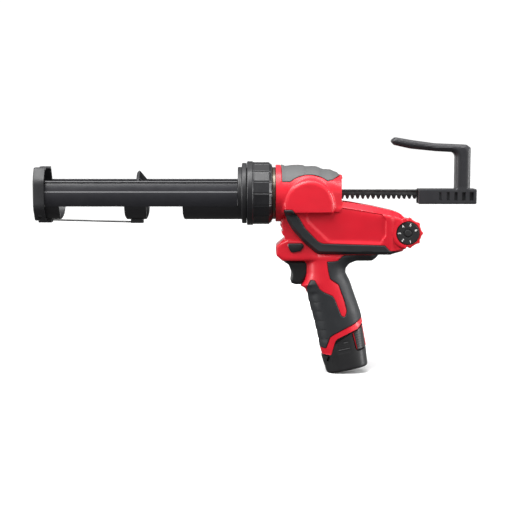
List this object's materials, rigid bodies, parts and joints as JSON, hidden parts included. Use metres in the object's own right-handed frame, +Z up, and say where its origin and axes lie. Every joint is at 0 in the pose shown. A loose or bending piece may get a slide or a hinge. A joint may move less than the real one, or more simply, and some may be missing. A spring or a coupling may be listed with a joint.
{
  "type": "caulking gun",
  "caption": "Cordless caulking gun: open cartridge cradle, toothed plunger rod with pull handle, pistol-grip motor housing, slide-in battery.",
  "frame": {"origin": "middle of the bounding box in X and Y, at the lowest corner of the battery foot", "axes": "+X along the plunger rod towards the pull handle, so the cartridge nozzle points to -X; +Y to the side away from the speed dial; +Z up"},
  "size_m": [0.4672, 0.0678, 0.2519],
  "materials": {
    "black_plastic": "moulded, fine satin grain",
    "rail_black": "glossy black with fine lengthwise drawing lines",
    "collar_black": "moulded, satin, slightly worn ribs",
    "handle_black": "moulded, fine spark grain",
    "button_black": "moulded, matte",
    "dial_black": "matte disc with pale numbers",
    "battery_black": "moulded, satin grain",
    "red_plastic": "semi-gloss moulded red with fine grain",
    "trigger_black": "moulded, satin, polished by the finger",
    "dial_red": "semi-gloss moulded red, scalloped rim",
    "soft_black": "soft over-moulded rubber, matte",
    "soft_grey": "soft over-moulded rubber, matte grey",
    "steel": "machined or drawn steel",
    "rack_steel": "blackened steel with worn tooth edges",
    "screw_steel": "blackened steel",
    "brass": "turned",
    "motor_core": "wound copper on laminations",
    "board_green": "solder-mask green",
    "cell_wrap": "shrink film"
  },
  "bodies": {
    "housing": {"housing_left": "red_plastic", "housing_right": "red_plastic", "head_pad_left": "soft_grey", "head_pad_right": "soft_grey", "belt_pad_left": "soft_black", "belt_pad_right": "soft_black", "grip_pad_left": "soft_black", "grip_pad_right": "soft_black", "housing_screw_1": "screw_steel", "housing_screw_2": "screw_steel", "housing_screw_3": "screw_steel", "housing_screw_4": "screw_steel", "housing_screw_5": "screw_steel", "neck_ring": "steel", "rack_guide_front": "black_plastic", "rack_guide_rear": "black_plastic", "gearbox_case": "screw_steel", "motor_can": "steel", "motor_end_cap": "black_plastic", "bearing_left": "steel", "bearing_right": "steel", "speed_board": "board_green", "switch_body": "black_plastic", "terminal_block": "black_plastic", "trigger_spring": "steel"},
    "carriage": {"front_cap": "black_plastic", "carriage_rail_left": "rail_black", "carriage_rail_right": "rail_black", "mid_saddle": "black_plastic", "rear_socket": "black_plastic", "piercer_pin": "steel"},
    "piercer": {"piercer_wire": "steel"},
    "collar": {"collar_nut": "collar_black"},
    "rack": {"rack_bar": "rack_steel", "plunger_disc": "black_plastic", "plunger_screw": "steel", "pull_handle": "handle_black", "handle_pin_1": "steel", "handle_pin_2": "steel"},
    "pinion": {"rack_pinion": "steel", "pinion_shaft": "steel", "clutch_hub": "brass"},
    "drive": {"drive_gear": "steel"},
    "output": {"output_pinion": "steel", "output_shaft": "steel"},
    "rotor": {"motor_rotor": "motor_core"},
    "trigger": {"trigger": "trigger_black"},
    "lock_button": {"lock_button": "button_black"},
    "dial": {"speed_dial": "dial_red", "dial_face": "dial_black"},
    "battery": {"battery_case": "battery_black", "battery_lid": "battery_black", "battery_cell_1": "cell_wrap", "battery_cell_2": "cell_wrap", "battery_cell_3": "cell_wrap", "battery_contacts": "brass"},
    "latch_left": {"battery_latch_left": "red_plastic"},
    "latch_right": {"battery_latch_right": "red_plastic"}
  },
  "joints": [
    {"name": "carriage_turn", "type": "hinge", "parent": "housing", "child": "carriage", "pos_m": [-0.0056, 0, 0.19236], "axis": [1, 0, 0], "continuous": true},
    {"name": "piercer_swing", "type": "hinge", "parent": "carriage", "child": "piercer", "pos_m": [-0.2256, 0, 0.16416], "axis": [0, 1, 0], "range_deg": [0, 120]},
    {"name": "collar_turn", "type": "hinge", "parent": "housing", "child": "collar", "pos_m": [0.0034, 0, 0.19236], "axis": [1, 0, 0], "range_deg": [0, 60]},
    {"name": "rack_slide", "type": "slide", "parent": "housing", "child": "rack", "axis": [1, 0, 0], "range_m": [-0.079, 0.113]},
    {"name": "pinion_spin", "type": "hinge", "parent": "housing", "child": "pinion", "pos_m": [0.0559, 0, 0.17946], "axis": [0, 1, 0], "range_deg": [-520, 745]},
    {"name": "motor_spin", "type": "hinge", "parent": "housing", "child": "rotor", "pos_m": [0.1144, 0, 0.15436], "axis": [1, 0, 0], "continuous": true},
    {"name": "drive_gear_spin", "type": "hinge", "parent": "housing", "child": "drive", "pos_m": [0.0559, 0, 0.17946], "axis": [0, 1, 0], "continuous": true},
    {"name": "output_spin", "type": "hinge", "parent": "housing", "child": "output", "pos_m": [0.0559, 0, 0.15446], "axis": [0, 1, 0], "continuous": true},
    {"name": "trigger_pull", "type": "slide", "parent": "housing", "child": "trigger", "axis": [1, 0, 0], "range_m": [0, 0.006], "stiffness_N_per_m": 500, "springref_m": -0.004, "deforming": ["trigger_spring"]},
    {"name": "lock_slide", "type": "slide", "parent": "housing", "child": "lock_button", "axis": [0, 1, 0], "range_m": [0, 0.005]},
    {"name": "dial_turn", "type": "hinge", "parent": "housing", "child": "dial", "pos_m": [0.1596, -0.015, 0.15136], "axis": [0, 1, 0], "range_deg": [0, 250]},
    {"name": "battery_slide", "type": "slide", "parent": "housing", "child": "battery", "axis": [0.2079, 0, -0.9781], "range_m": [0, 0.062]},
    {"name": "latch_left_press", "type": "slide", "parent": "battery", "child": "latch_left", "axis": [0, 1, 0], "range_m": [0, 0.0012], "stiffness_N_per_m": 1200, "springref_m": -0.001},
    {"name": "latch_right_press", "type": "slide", "parent": "battery", "child": "latch_right", "axis": [0, -1, 0], "range_m": [0, 0.0012], "stiffness_N_per_m": 1200, "springref_m": -0.001}
  ],
  "couplings": [
    {"joint": "pinion_spin", "follows": "rack_slide", "rad_per_m": 114.29},
    {"joint": "drive_gear_spin", "follows": "motor_spin", "ratio": 0.083333},
    {"joint": "output_spin", "follows": "motor_spin", "ratio": -0.33333}
  ]
}
